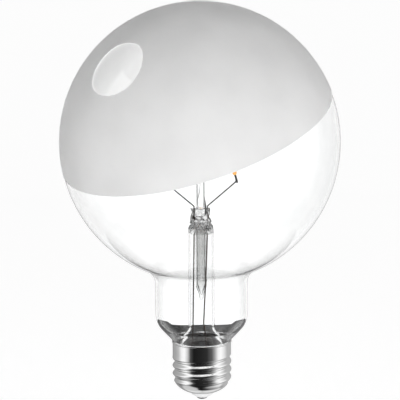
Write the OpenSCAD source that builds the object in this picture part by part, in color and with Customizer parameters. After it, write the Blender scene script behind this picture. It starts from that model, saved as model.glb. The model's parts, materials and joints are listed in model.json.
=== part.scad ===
// Globe lamp with four light strips on a glass stem, a half white coat and a screw cap.
// Millimetres. The origin is the middle of the contact's face, and +Z runs up the axis.

/* [Globe] */
// Diameter of the globe, over the white coat
globe_d = 124.5; // [115:0.5:135]
// Thickness of the glass
glass_t = 1; // [0.6:0.1:1.4]
// Radius between the globe and its neck
fillet_r = 8; // [5:0.5:12]

/* [Coat] */
// Thickness of the white coat
coat_t = 0.25; // [0.15:0.05:0.5]
// Tilt of the coat's edge away from level, in degrees
coat_tilt = 19.8; // [0:0.1:35]
// Compass angle of the side where the coat reaches lowest
coat_azimuth = -145; // [-180:0.5:180]
// Height of the coat's edge plane over the middle of the globe
coat_rise = 5.4; // [0:0.1:15]
// Diameter of the clear round window in the coat
window_d = 26.7; // [10:0.1:40]
// Angle of the window above level, in degrees
window_elevation = 38; // [30:0.25:50]
// Compass angle of the window
window_azimuth = -136.9; // [-180:0.1:180]

/* [Neck] */
// Diameter of the straight neck
neck_d = 41.2; // [38:0.2:46]
// Height of the neck, from the cap's rim up to the fillet
neck_l = 26; // [20:0.5:34]
// Radius where the neck rounds inward
neck_round = 10; // [6:0.5:12]
// Angle of the neck's taper, measured from the axis
taper_angle = 43; // [38:0.5:48]

/* [Screw cap] */
// Height of the cap's rim above the contact
cap_h = 26.9; // [26:0.1:29]
// Diameter of the plain collar
collar_d = 26.2; // [25.8:0.05:26.4]
// Thickness of the rolled sheet
sheet_t = 0.3; // [0.2:0.05:0.4]
// Diameter over the thread's crests
crest_d = 26.45; // [26.4:0.01:26.6]
// Depth of the thread's groove
thread_depth = 1.025; // [0.8:0.025:1.1]
// Rise of the thread in one turn
thread_pitch = 3.629; // [3.4:0.001:3.8]
// Length of the plain collar below the rim bead
collar_l = 4.4; // [3.6:0.1:4.8]
// Height of the rolled bead at the rim
bead_h = 0.9; // [0.6:0.05:1.1]
// How far the bead stands out from the collar
bead_out = 0.3; // [0.15:0.05:0.4]
// Height of the bowl at the foot of the cap
bowl_h = 7.8; // [7:0.1:8.6]
// Diameter of the hole in the bowl's foot
foot_hole_d = 11; // [10:0.1:12]
// Width of the cement ring between neck and collar
cement_t = 0.45; // [0.35:0.05:0.6]
// Depth of the neck inside the collar
neck_depth = 5.9; // [5:0.1:6.5]

/* [Insulator and contact] */
// Depth of the insulator below the shell
foot_drop = 2.2; // [1.8:0.1:2.8]
// Diameter of the contact's head
contact_d = 4.8; // [4:0.1:6]
// Thickness of the contact's head
contact_h = 0.9; // [0.6:0.1:1.2]
// Diameter of the contact's shank
shank_d = 2.4; // [2:0.1:3]
// Thickness of the insulator's flange
flange_t = 1.2; // [0.8:0.1:1.6]

/* [Stem] */
// Outer diameter of the stem tube
tube_d = 11.7; // [10.6:0.1:13]
// Wall of the stem tube
tube_t = 0.9; // [0.6:0.05:1.2]
// Height of the press's top above the contact
press_top = 86.9; // [80:0.5:92]
// Length of the pinched press
press_l = 6; // [5.6:0.1:8]
// Width of the press at its foot
press_w_low = 8.8; // [8.2:0.1:10]
// Width of the press at its top
press_w_top = 8; // [7.6:0.1:9]
// Thickness of the press
press_t = 3.6; // [3:0.1:4.4]
// Height over which the tube is squeezed into the press
squeeze_l = 4.9; // [3.6:0.1:6]
// Diameter of the flare where it goes into the cap
flare_d = 22; // [20:0.1:22.2]
// Height of the flare's straight skirt
skirt_h = 2; // [1.5:0.5:4]
// Height over which the flare narrows to the tube
flare_h = 10; // [7:0.5:14]
// Width of the gas hole in the press
gas_hole_w = 2.9; // [2:0.1:3.4]
// Height of the gas hole in the press
gas_hole_h = 4.6; // [3.6:0.1:5.4]
// Outer diameter of the exhaust tube
exhaust_d = 4.8; // [4:0.1:5]
// Wall of the exhaust tube
exhaust_t = 0.8; // [0.5:0.05:1]
// Length of the exhaust tube, with its tip
exhaust_l = 33; // [25:0.5:38]
// Length of the drawn tip
tip_l = 8; // [5:0.5:11]
// Diameter of the glass rod on the press
rod_d = 3.7; // [3.2:0.1:4.4]
// Diameter of the button at the rod's top
button_d = 5.2; // [4.8:0.1:6.4]
// Length of the button
button_l = 3.4; // [2.6:0.1:4.4]

/* [Wires] */
// Diameter of the nickel wires
wire_d = 0.6; // [0.4:0.05:0.8]
// Diameter of the wires sealed in the press
seal_d = 0.5; // [0.3:0.05:0.6]
// Distance of the two sealed wires from the axis
lead_x = 2.95; // [2.9:0.05:3.3]
// Reach of the left and right leads from the axis
lead_reach = 15.8; // [12:0.2:18]
// Rise of the leads above the press
lead_rise = 12; // [8:0.5:15]
// Reach of the rear wire behind the axis
rear_reach = 16; // [12:0.2:18]
// Reach of the top anchors to each side
anchor_reach = 6; // [4.4:0.2:8]
// Diameter of the weld beads
weld_d = 1; // [0.9:0.05:1.3]
// Distance between the two strips on a top anchor
strip_apart = 2; // [1.6:0.1:2.6]

/* [Light strips] */
// Length of a strip with its end pins
strip_l = 38; // [34:0.5:42]
// Diameter of a strip's body
strip_d = 1.9; // [1.4:0.1:2.4]
// Length of an end pin
pin_l = 3.6; // [2.6:0.1:5]
// Width of an end pin
pin_w = 0.9; // [0.6:0.1:1.2]
// Thickness of an end pin
pin_t = 0.3; // [0.2:0.05:0.5]
// Length of a pin past its weld
pin_over = 0.7; // [0.4:0.1:1.2]

/* [Driver] */
// Thickness of the board
board_t = 1; // [0.6:0.1:1.6]
// Height of the board's lower face above the contact
board_z = 13; // [12.6:0.1:13.6]
// Wall of the insulating sleeve
sleeve_t = 0.35; // [0.2:0.05:0.5]
// Diameter of the capacitor
can_d = 6.3; // [5:0.1:6.8]
// Height of the capacitor
can_h = 10.5; // [8:0.5:12]
// Diameter of the fuse resistor's body
fuse_d = 2.4; // [1.8:0.1:3]
// Length of the fuse resistor's body
fuse_l = 3.6; // [3:0.1:4]

/* [Hidden] */
$fn = 96;

// Clearances
weld_gap = 0.02;
slide_gap = 0.05;
loose_gap = 0.2;
// How far the threaded wall's top is sunk in the collar
wall_sunk = 0.06;

// Globe and neck
coat_r = globe_d / 2;
glass_r = coat_r - coat_t;
neck_r = neck_d / 2;
fillet_x = neck_r + fillet_r;
fillet_z = cap_h + neck_l;
globe_z = fillet_z + sqrt(pow(glass_r + fillet_r, 2) - pow(fillet_x, 2));
fillet_share = glass_r / (glass_r + fillet_r);
touch_x = fillet_x * fillet_share;
touch_z = globe_z + (fillet_z - globe_z) * fillet_share;

// Cap sheet, from the rim down
collar_r = collar_d / 2;
collar_ri = collar_r - sheet_t;
bead_z = cap_h - bead_h;
thread_top = bead_z - collar_l;
crest_r = crest_d / 2;
foot_z = foot_drop + contact_h;
bowl_top = foot_z + bowl_h;
foot_r = foot_hole_d / 2;

// Rows of the rolled thread, from the collar to the hole in the foot
turn_steps = 48;
row_step = 0.45;
bowl_rows = 10;
wall_lap = 0.15;
wall_drop = thread_top + wall_lap - bowl_top;
wall_rows = ceil(wall_drop / row_step);
rows = wall_rows + bowl_rows;
// Share of a turn that sets where the first crest meets the left side
crest_shift = 0.8;

// The insulator's hub, its flange and the contact's shank
hub_r = foot_r - sheet_t / 2;
flange_share = 0.8;
flange_top = flange_low(flange_share) + flange_t;
shank_top = flange_top + 0.5;

// Neck inside the cap
stub_r = collar_ri - cement_t;
seal_z = cap_h - neck_depth;
seal_t = 1;
taper_gap = 0.35;
taper_z = cap_h + taper_gap;
taper_x = collar_r;
corner_z = taper_z + (neck_r - taper_x) / tan(taper_angle);
corner_run = neck_round * tan(taper_angle / 2);
round_z = corner_z + corner_run;

// Stem
tube_r = tube_d / 2;
tube_ri = tube_r - tube_t;
flare_r = flare_d / 2;
press_low = press_top - press_l;
squeeze_z = press_low - squeeze_l;
exhaust_r = exhaust_d / 2;
exhaust_top = squeeze_z + squeeze_l / 2;
exhaust_low = exhaust_top - exhaust_l;
slot_half = 0.5;

// Wires and light strips
wire_r = wire_d / 2;
weld_r = weld_d / 2;
tip_z = press_top + lead_rise;
anchor_back = (pow(rear_reach, 2) - pow(lead_reach, 2) + 2 * lead_reach * anchor_reach)
    / (2 * rear_reach);
strip_run = norm([lead_reach - anchor_reach, anchor_back]);
strip_span = strip_l - 2 * pin_over;
anchor_z = tip_z + sqrt(pow(strip_span, 2) - pow(strip_run, 2));
right_tip = [lead_reach, 0, tip_z];
rear_tip = [0, rear_reach, tip_z];
rod_top = anchor_z + button_l / 2;
weld_offset = weld_r + pin_t / 2 + weld_gap;

// Plates of the top anchors, turned across the anchor's wire
anchor_out = unit([anchor_reach, anchor_back, 0]);
anchor_side = [anchor_out[1], -anchor_out[0], 0];
anchor_run = norm([anchor_reach, anchor_back]);
anchor_sunk = 1.6;
side_top = [anchor_reach, anchor_back, anchor_z] + strip_apart / 2 * anchor_side;
rear_top = [anchor_reach, anchor_back, anchor_z] - strip_apart / 2 * anchor_side;
away_cos = strip_away(right_tip, side_top) * anchor_out;
plate_face = (weld_offset - pin_t / 2) * away_cos
    - pin_w / 2 * sqrt(1 - pow(away_cos, 2)) - 3 * weld_gap;
anchor_l = anchor_run - button_d / 2 + anchor_sunk + plate_face;
plate_w = strip_apart + pin_w;
plate_h = 1.4;

// Driver
board_top = board_z + board_t;
sleeve_r = crest_r - thread_depth - sheet_t - loose_gap;
sleeve_ri = sleeve_r - sleeve_t;
board_r = sleeve_ri - slide_gap;
hole_r = wire_r + slide_gap;
can_y = 5.2;
rectifier_size = [4.6, 3.8, 1.5];
rectifier_at = [3, 3.5];
ic_size = [4.9, 3.9, 1.6];
ic_at = [-7, -5.5];
pad_over = 0.6;
left_pad = [-5, 0, board_top];
right_pad = [3.4, -2, board_top];
shell_pad = [-8.4, 0, board_top];
shell_wire_r = (collar_ri - wall_sunk - stub_r - slide_gap) / 2;
shell_x = -(collar_ri - wall_sunk + stub_r) / 2;
shell_top = bead_z - 1.6;

// Bends and feet of the wires
bend_r = 0.8;
wire_sides = 12;
foot_rise = 1;
rear_sunk = 3;
rear_foot = [0.745 * lead_x, 0.3 * press_t, press_top];

// The route of each wire below the press, with round numbers chosen by hand
left_route = [[-lead_x, 0, press_low], [-lead_x, 0, press_low - 3], [-3.9, 0, 31],
    [left_pad[0], left_pad[1], board_top + 3],
    [left_pad[0], left_pad[1], board_z - pad_over]];
right_route = [[lead_x, 0, press_low], [lead_x, 0, press_low - 3], [2.3, -2.3, 61],
    [1.4, -2.6, 45], [0.9, -2, 35], [right_pad[0], right_pad[1], board_top + 3],
    [right_pad[0], right_pad[1], board_z - pad_over]];

// Half outline of the bulb, drawn inset from the outer surface of the glass
module bulb_outline(inset) {
    translate([0, globe_z]) intersection() {
        circle(r = glass_r - inset);
        translate([0, -glass_r]) square([glass_r, 2 * glass_r]);
    }
    difference() {
        polygon([[0, fillet_z], [fillet_x, fillet_z], [touch_x, touch_z], [0, touch_z]]);
        translate([fillet_x, fillet_z]) circle(r = fillet_r + inset);
    }
    translate([0, round_z]) square([neck_r - inset, fillet_z - round_z + inset / 2]);
    intersection() {
        translate([neck_r - neck_round, round_z]) circle(r = neck_round - inset);
        translate([neck_r - neck_round, corner_z - corner_run])
            square([neck_round, 2 * corner_run]);
    }
    lower_outline(inset);
}

// Straight lines of the taper and of the part of the neck that stands in the cap
module lower_outline(inset) {
    slant = [cos(taper_angle), -sin(taper_angle)] * inset;
    arc_low = [neck_r - neck_round, round_z]
        + (neck_round - inset) * [cos(taper_angle), -sin(taper_angle)];
    low_z = seal_z + seal_t - inset;
    polygon([[0, low_z], [stub_r - inset, low_z], [stub_r - inset, bead_z + bead_h / 2],
        [taper_x - slant[0], taper_z - slant[1]], arc_low,
        [neck_r - neck_round, round_z], [0, round_z]]);
}

module glass_envelope() {
    color([0.9, 0.95, 0.97, 0.3]) rotate_extrude() difference() {
        bulb_outline(0);
        bulb_outline(glass_t);
    }
}

// The coat is a skin on the globe, cut by a tilted plane and pierced by the window
module white_coating() {
    color([0.86, 0.86, 0.86]) translate([0, 0, globe_z]) difference() {
        sphere(r = coat_r);
        sphere(r = glass_r);
        rotate([0, coat_tilt, coat_azimuth])
            translate([-globe_d, -globe_d, coat_rise - 2 * globe_d]) cube(2 * globe_d);
        rotate([0, 90 - window_elevation, window_azimuth]) cylinder(d = window_d, h = globe_d);
    }
}

// Radius of the flare at a height above its skirt, as a half wave
function flare_at(h) = tube_r + (flare_r - tube_r) * (1 + cos(180 * h / flare_h)) / 2;

module flare_outline(inset) {
    steps = 14;
    skirt_top = seal_z + skirt_h;
    polygon([[0, seal_z], [flare_r - inset, seal_z],
        for (i = [0:steps]) [flare_at(flare_h * i / steps) - inset, skirt_top + flare_h * i / steps],
        [tube_r - inset, squeeze_z + 0.5], [0, squeeze_z + 0.5]]);
}

module stem_flare() {
    color([0.85, 0.93, 0.95, 0.35]) difference() {
        union() {
            rotate_extrude() union() {
                flare_outline(0);
                translate([0, seal_z]) square([stub_r, seal_t]);
            }
            press_body();
        }
        rotate_extrude() union() {
            flare_outline(tube_t);
            translate([0, seal_z - 1]) square([flare_r - tube_t, 2]);
        }
        squeeze_hollow();
        for (side = [-1, 1]) translate([side * lead_x, 0, press_low - 1])
            cylinder(d = seal_d, h = press_l + 2);
        translate(rear_foot - [0, 0, rear_sunk]) cylinder(r = wire_r, h = rear_sunk + 1);
        gas_hole();
    }
}

// The tube's end, squeezed flat while hot
module press_body() {
    hull() {
        translate([0, 0, squeeze_z]) cylinder(r = tube_r, h = 0.4, $fn = 40);
        press_slice(press_low, press_w_low);
    }
    hull() {
        press_slice(press_low, press_w_low);
        press_slice(press_top - 0.2, press_w_top);
    }
}

module press_slice(z, width) {
    for (side = [-1, 1]) translate([side * (width - press_t) / 2, 0, z])
        cylinder(d = press_t, h = 0.2, $fn = 24);
}

module squeeze_hollow() {
    hull() {
        translate([0, 0, squeeze_z + 0.3]) cylinder(r = tube_ri, h = 0.2, $fn = 40);
        translate([-lead_x - seal_d, -slot_half, press_low - 0.1])
            cube([2 * lead_x + 2 * seal_d, 2 * slot_half, 0.1]);
    }
}

// Gas leaves the exhaust tube here when the bulb is filled
module gas_hole() {
    hole_z = press_top - gas_hole_h / 2 - 0.8;
    translate([-0.8, 0, hole_z]) oval_hole();
    translate([0, 0, press_low - 1]) cylinder(d = 1.2, h = hole_z - press_low + 1);
}

module oval_hole() {
    straight = (gas_hole_h - gas_hole_w) / 2;
    rotate([90, 0, 0]) linear_extrude(height = press_t) union() {
        translate([0, straight]) circle(d = gas_hole_w);
        translate([0, -straight]) circle(d = gas_hole_w);
        translate([-gas_hole_w / 2, -straight]) square([gas_hole_w, 2 * straight]);
    }
}

module exhaust_tube() {
    color([0.85, 0.93, 0.95, 0.35]) rotate_extrude() difference() {
        exhaust_outline(0);
        exhaust_outline(exhaust_t);
    }
}

module exhaust_outline(inset) {
    tip_r = 0.9;
    top = exhaust_top + inset;
    polygon([[0, exhaust_low + 1.5 * inset], [tip_r - inset / 2, exhaust_low + 1.5 * inset],
        [exhaust_r - inset, exhaust_low + tip_l], [exhaust_r - inset, top], [0, top]]);
}

module centre_rod() {
    neck_z = rod_top - button_l;
    color([0.85, 0.93, 0.95, 0.35]) difference() {
        rotate_extrude() polygon([[0, press_top], [rod_d / 2, press_top], [rod_d / 2, neck_z - 1.5],
            [button_d / 2, neck_z + 0.4], [button_d / 2, rod_top - 0.8],
            [button_d / 2 - 0.8, rod_top], [0, rod_top]]);
        for (side = [-1, 1]) anchor_path(side) cylinder(r = wire_r, h = button_d);
    }
}

// Places its children with +Z from the rod's axis towards an anchor's tip
module anchor_path(side) {
    translate([0, 0, anchor_z]) rotate([0, 90, atan2(anchor_back, side * anchor_reach)])
        translate([0, 0, button_d / 2 - anchor_sunk]) children();
}

module dumet_seal(side) {
    color([0.72, 0.38, 0.25]) translate([side * lead_x, 0, press_low])
        cylinder(d = seal_d, h = press_l);
}

function unit(v) = v / norm(v);
function heading(points, i) = unit(points[i + 1] - points[i]);

// Points of the round bend at point i of a route
function bend_points(route, i) =
    let(ahead = heading(route, i - 1), next = heading(route, i), turn = acos(min(1, ahead * next)))
    turn < 0.5 ? [route[i]] :
    let(inward = unit(next - (next * ahead) * ahead), steps = ceil(turn / 12),
        hub = route[i] - bend_r * tan(turn / 2) * ahead + bend_r * inward)
    [for (k = [0:steps]) let(a = turn * k / steps) hub + bend_r * (sin(a) * ahead - cos(a) * inward)];

function round_path(route) =
    [route[0], for (i = [1:len(route) - 2]) each bend_points(route, i), route[len(route) - 1]];

// Direction along a path at one of its points
function along(path, i) =
    i == 0 ? heading(path, 0) :
    i == len(path) - 1 ? heading(path, i - 1) : unit(heading(path, i - 1) + heading(path, i));

// Round wire along a path, with a radius at each point; side is a direction that it never takes
module wire(path, radii, side) {
    n = wire_sides;
    last = len(path) - 1;
    points = [for (i = [0:last])
        let(u = unit(cross(along(path, i), side)), v = cross(along(path, i), u))
        for (j = [0:n - 1]) path[i] + radii[i] * (cos(360 * j / n) * u + sin(360 * j / n) * v)];
    walls = [for (i = [0:last - 1], j = [0:n - 1]) let(a = i * n + j, b = i * n + (j + 1) % n)
        [a, a + n, b + n, b]];
    ends = [[for (j = [0:n - 1]) j], [for (j = [n - 1:-1:0]) last * n + j]];
    polyhedron(points = points, faces = concat(walls, ends), convexity = 6);
}

module plain_wire(route, r, side) {
    path = round_path(route);
    wire(path, [for (p = path) r], side);
}

// Wire that ends in a weld bead
module beaded_wire(route, side) {
    path = round_path(route);
    tip = path[len(path) - 1];
    ahead = heading(path, len(path) - 2);
    start = -acos(wire_r / weld_r);
    angles = [for (k = [0:6]) start + (84 - start) * k / 6];
    body = [for (i = [0:len(path) - 2]) path[i]];
    wire(concat(body, [for (a = angles) tip + weld_r * sin(a) * ahead]),
        concat([for (p = body) wire_r], [for (a = angles) weld_r * cos(a)]), side);
}

// A lead with a short straight foot on the press and a weld bead at its tip
module inner_lead(side) {
    foot = [side * lead_x, 0, press_top];
    color([0.55, 0.55, 0.56])
        beaded_wire([foot, foot + [0, 0, foot_rise], [side * lead_reach, 0, tip_z]], [0, 1, 0]);
}

module outer_lead(route) {
    color([0.75, 0.45, 0.3]) plain_wire(route, wire_r, [0, 1, 0]);
}

module rear_support_wire() {
    color([0.55, 0.55, 0.56])
        beaded_wire([rear_foot - [0, 0, rear_sunk], rear_foot + [0, 0, foot_rise], rear_tip],
            [1, 0, 0]);
}

// A wire with a small plate across its end, to which two strips are welded
module top_anchor(side) {
    color([0.55, 0.55, 0.56]) union() {
        anchor_path(side) cylinder(r = wire_r, h = anchor_l);
        anchor_path(side) translate([-plate_h / 2, -plate_w / 2, anchor_l - pin_t])
            cube([plate_h, plate_w, pin_t]);
    }
}

// Level direction across a strip, on the side that faces away from the axis
function strip_away(low, high) =
    let(across = unit([low[1] - high[1], high[0] - low[0], 0])) across * low > 0 ? across : -across;

// Places its children along a strip: +Z runs from its lower weld to its upper one
module along_strip(low, high) {
    run = high - low;
    translate(low + strip_away(low, high) * weld_offset)
        rotate([0, acos(run[2] / norm(run)), atan2(run[1], run[0])]) children();
}

module strip_body(span) {
    low = pin_l - pin_over;
    high = span - low;
    bevel = strip_d / 4;
    color([0.86, 0.55, 0.2]) union() {
        translate([0, 0, low]) cylinder(r1 = strip_d / 2 - bevel, r2 = strip_d / 2, h = bevel);
        translate([0, 0, low + bevel]) cylinder(d = strip_d, h = high - low - 2 * bevel);
        translate([0, 0, high - bevel])
            cylinder(r1 = strip_d / 2, r2 = strip_d / 2 - bevel, h = bevel);
    }
}

module strip_pins(span) {
    color([0.6, 0.6, 0.6]) for (z = [-pin_over, span + pin_over - pin_l])
        translate([-pin_w / 2, -pin_t / 2, z]) cube([pin_w, pin_t, pin_l]);
}

module strip_place(side, low, high) {
    mirror([side < 0 ? 1 : 0, 0, 0]) along_strip(low, high) children();
}

module led_filament(side, low, high) {
    strip_place(side, low, high) strip_body(norm(high - low));
}

module filament_pins(side, low, high) {
    strip_place(side, low, high) strip_pins(norm(high - low));
}

// Rolled thread: a groove that winds up the sheet to the right, as wide as the pitch.
// It fades in under the collar and fades out in the bowl. The wall's top row is sunk in the collar.
function smooth(x) = let(c = min(1, max(0, x))) c * c * (3 - 2 * c);

// Curve of the bowl from the wall, at 0, to the hole in the foot, at 1
function bowl_point(t) =
    let(start = [crest_r, bowl_top], end = [foot_r, foot_z],
        pull = [crest_r - 0.5, foot_z + 0.3 * bowl_h])
    (1 - t) * (1 - t) * start + 2 * t * (1 - t) * pull + t * t * end;

// Radius and height of the sheet's outer side in each row, before the groove is rolled
function wall_point(i) = i <= wall_rows
    ? [collar_r - wall_sunk + (crest_r - collar_r + wall_sunk) * smooth(3 * i / wall_rows),
        thread_top + wall_lap - wall_drop * i / wall_rows]
    : bowl_point((i - wall_rows) / bowl_rows);

// Direction out of the sheet in each row
function wall_normal(i) = i <= wall_rows ? [1, 0]
    : let(run = wall_point(min(rows, i + 1)) - wall_point(i - 1)) unit([-run[1], run[0]]);

// Depth of the groove at an angle and a height
function groove_at(angle, z) =
    let(turns = (thread_top - z) / thread_pitch + angle / 360 + crest_shift,
        part = turns - floor(turns),
        middle_z = z + thread_pitch * (part - 0.5),
        fade_in = smooth((thread_top - 0.6 - middle_z) / 2.6),
        fade_out = smooth((middle_z - foot_z - 0.42 * bowl_h) / 3))
    thread_depth * (1 - cos(360 * part)) / 2 * fade_in * fade_out;

// One ring of the sheet's outer or inner side; the inner one is drawn round its circle
function wall_ring(i, inset) =
    let(p = wall_point(i) - inset * wall_normal(i),
        grow = inset > 0 ? 1 / cos(180 / turn_steps) : 1)
    [for (j = [0:turn_steps - 1])
        let(angle = 360 * j / turn_steps, r = (p[0] - groove_at(angle, wall_point(i)[1])) * grow)
        [r * cos(angle), r * sin(angle), p[1]]];

module threaded_wall() {
    n = turn_steps;
    inner = (rows + 1) * n;
    last = rows * n;
    points = [for (inset = [0, sheet_t], i = [0:rows]) each wall_ring(i, inset)];
    sides = [for (i = [0:rows - 1], j = [0:n - 1])
        let(a = i * n + j, b = i * n + (j + 1) % n, c = a + n, d = b + n)
        each [[a, b, d], [a, d, c], [inner + a, inner + d, inner + b], [inner + a, inner + c, inner + d]]];
    rims = [for (j = [0:n - 1]) let(k = (j + 1) % n)
        each [[j, inner + j, inner + k], [j, inner + k, k],
            [last + j, last + k, inner + last + k], [last + j, inner + last + k, inner + last + j]]];
    polyhedron(points = points, faces = concat(sides, rims), convexity = 8);
}

module screw_shell() {
    color([0.78, 0.78, 0.8]) union() {
        rotate_extrude() difference() {
            union() {
                translate([0, thread_top]) square([collar_r, cap_h - thread_top - bead_h / 2]);
                translate([collar_r + bead_out - bead_h / 2, cap_h - bead_h / 2])
                    circle(d = bead_h, $fn = 48);
            }
            translate([0, thread_top - 1]) square([collar_ri, cap_h]);
        }
        threaded_wall();
    }
}

// The flange follows the inner side of the bowl
function flange_low(t) = bowl_point(t)[1] + 1.15 * sheet_t + slide_gap;

module cap_insulator() {
    color([0.88, 0.88, 0.88]) difference() {
        rotate_extrude() polygon([[0, contact_h], [contact_d / 2 + 0.4, contact_h],
            [foot_r - 0.9, contact_h + 0.55 * foot_drop], [hub_r, foot_z], [hub_r, flange_low(1)],
            for (t = [0.95:-0.05:flange_share]) [bowl_point(t)[0], flange_low(t)],
            [bowl_point(flange_share)[0], flange_top], [0, flange_top]]);
        cylinder(r = shank_d / 2 + slide_gap, h = flange_top + 1);
    }
}

module centre_contact() {
    color([0.7, 0.7, 0.7]) difference() {
        union() {
            rotate_extrude() polygon([[0, 0], [contact_d / 2 - 0.6, 0],
                [contact_d / 2 - 0.15, 0.3 * contact_h], [contact_d / 2, contact_h],
                [0, contact_h]]);
            cylinder(d = shank_d, h = shank_top);
        }
        translate([0, 0, shank_top - 2]) cylinder(r = hole_r, h = 3);
    }
}

module cap_cement() {
    color([0.9, 0.89, 0.84]) difference() {
        translate([0, 0, thread_top + loose_gap])
            cylinder(r = collar_ri, h = collar_l - 2 * loose_gap);
        translate([0, 0, seal_z]) cylinder(r = stub_r, h = cap_h);
        translate([shell_x, 0, seal_z]) cylinder(r = shell_wire_r, h = shell_top - seal_z);
    }
}

module insulating_sleeve() {
    sleeve_low = bowl_top - 0.5;
    color([0.93, 0.93, 0.9]) difference() {
        translate([0, 0, sleeve_low]) cylinder(r = sleeve_r, h = seal_z - 2 - sleeve_low);
        translate([0, 0, sleeve_low - 1]) cylinder(r = sleeve_ri, h = seal_z);
    }
}

module driver_board() {
    color([0.85, 0.86, 0.82]) difference() {
        translate([0, 0, board_z]) cylinder(r = board_r, h = board_t);
        for (pad = [left_pad, right_pad, shell_pad, [0, 0, board_top]])
            translate([pad[0], pad[1], board_z - 1]) cylinder(r = hole_r, h = board_t + 2);
    }
}

module bridge_rectifier() {
    color([0.12, 0.12, 0.13])
        translate([rectifier_at[0], rectifier_at[1], board_z - rectifier_size[2]])
            cube(rectifier_size);
}

module driver_ic() {
    color([0.1, 0.1, 0.11]) translate([ic_at[0], ic_at[1], board_top]) cube(ic_size);
}

module smoothing_capacitor() {
    color([0.15, 0.16, 0.2]) translate([0, can_y, board_top]) cylinder(d = can_d, h = can_h);
}

module fuse_resistor() {
    body_z = (shank_top + board_z) / 2 - fuse_l / 2;
    wire_low = shank_top - 1.8;
    color([0.35, 0.55, 0.45]) union() {
        translate([0, 0, body_z]) cylinder(d = fuse_d, h = fuse_l);
        translate([0, 0, wire_low]) cylinder(r = wire_r, h = board_top + pad_over - wire_low);
    }
}

module shell_lead() {
    bend_z = seal_z - 1.8;
    color([0.75, 0.45, 0.3]) plain_wire([[shell_pad[0], 0, board_z - pad_over],
        [shell_pad[0], 0, bend_z], [shell_x, 0, bend_z + 0.8], [shell_x, 0, shell_top]],
        shell_wire_r, [0, 1, 0]);
}

glass_envelope();
white_coating();
stem_flare();
exhaust_tube();
centre_rod();
dumet_seal(-1);  // dumet_seal_left
dumet_seal(1);  // dumet_seal_right
inner_lead(-1);  // inner_lead_left
inner_lead(1);  // inner_lead_right
outer_lead(left_route);  // outer_lead_left
outer_lead(right_route);  // outer_lead_right
rear_support_wire();
top_anchor(-1);  // top_anchor_left
top_anchor(1);  // top_anchor_right
led_filament(-1, right_tip, side_top);  // led_filament_left
led_filament(1, right_tip, side_top);  // led_filament_right
led_filament(-1, rear_tip, rear_top);  // led_filament_rear_left
led_filament(1, rear_tip, rear_top);  // led_filament_rear_right
filament_pins(-1, right_tip, side_top);  // filament_pins_left
filament_pins(1, right_tip, side_top);  // filament_pins_right
filament_pins(-1, rear_tip, rear_top);  // filament_pins_rear_left
filament_pins(1, rear_tip, rear_top);  // filament_pins_rear_right
screw_shell();
cap_insulator();
centre_contact();
cap_cement();
insulating_sleeve();
driver_board();
bridge_rectifier();
driver_ic();
smoothing_capacitor();
fuse_resistor();
shell_lead();
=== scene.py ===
"""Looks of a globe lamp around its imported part: clear glass, a half white coat, wires, light
strips and a polished screw cap. Lengths are named in millimetres and turned to metres by MM."""
import bpy
import bmesh
import json
import math
from mathutils import Matrix, Vector, noise

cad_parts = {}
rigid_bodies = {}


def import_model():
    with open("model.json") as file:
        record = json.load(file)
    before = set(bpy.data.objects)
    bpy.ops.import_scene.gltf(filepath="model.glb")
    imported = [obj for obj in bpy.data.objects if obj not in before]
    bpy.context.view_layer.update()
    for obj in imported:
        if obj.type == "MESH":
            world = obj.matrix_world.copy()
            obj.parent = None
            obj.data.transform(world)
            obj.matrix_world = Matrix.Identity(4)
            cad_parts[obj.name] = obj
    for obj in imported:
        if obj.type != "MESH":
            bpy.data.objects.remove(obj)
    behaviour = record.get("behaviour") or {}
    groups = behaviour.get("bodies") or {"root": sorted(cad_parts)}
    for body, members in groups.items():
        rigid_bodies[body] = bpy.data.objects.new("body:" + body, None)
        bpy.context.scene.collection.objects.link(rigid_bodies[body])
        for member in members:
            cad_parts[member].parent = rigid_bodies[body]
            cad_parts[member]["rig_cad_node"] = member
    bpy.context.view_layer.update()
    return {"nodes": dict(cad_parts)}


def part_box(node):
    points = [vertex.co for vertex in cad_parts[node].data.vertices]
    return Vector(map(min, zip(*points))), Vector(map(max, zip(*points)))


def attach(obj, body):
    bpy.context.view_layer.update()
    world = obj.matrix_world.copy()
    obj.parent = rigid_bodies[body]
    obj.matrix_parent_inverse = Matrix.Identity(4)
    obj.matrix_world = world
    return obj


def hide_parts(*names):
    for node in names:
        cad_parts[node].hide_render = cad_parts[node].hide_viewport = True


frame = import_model()

MM = 0.001

# Globe and neck, as in the part
GLASS_R = 62.0
COAT_R = 62.25
GLOBE_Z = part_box("white_coating")[1].z / MM - COAT_R
GLASS_T = 1.0
FILLET_R = 8.0
NECK_R = 20.6
NECK_ROUND = 10.0
TAPER = math.radians(43)
CAP_H = 26.9
TAPER_X = 13.1
TAPER_Z = CAP_H + 0.35
STUB_R = 12.35
SEAL_Z = 21.0
SEAL_T = 1.0
SEAL_GAP = 0.02
GLOBE_SIDES = 288
ROUND_STEPS, FILLET_STEPS, GLOBE_STEPS = 16, 28, 140

# Coat: its edge plane and its window
COAT_TILT = math.radians(19.8)
COAT_AZIMUTH = math.radians(-145)
COAT_RISE = 5.4
WINDOW_R = 26.7 / 2
WINDOW_ELEVATION = math.radians(38)
WINDOW_AZIMUTH = math.radians(-136.9)
COAT_GAP = 0.03
COAT_SIDES, COAT_RINGS = 360, 150

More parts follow.
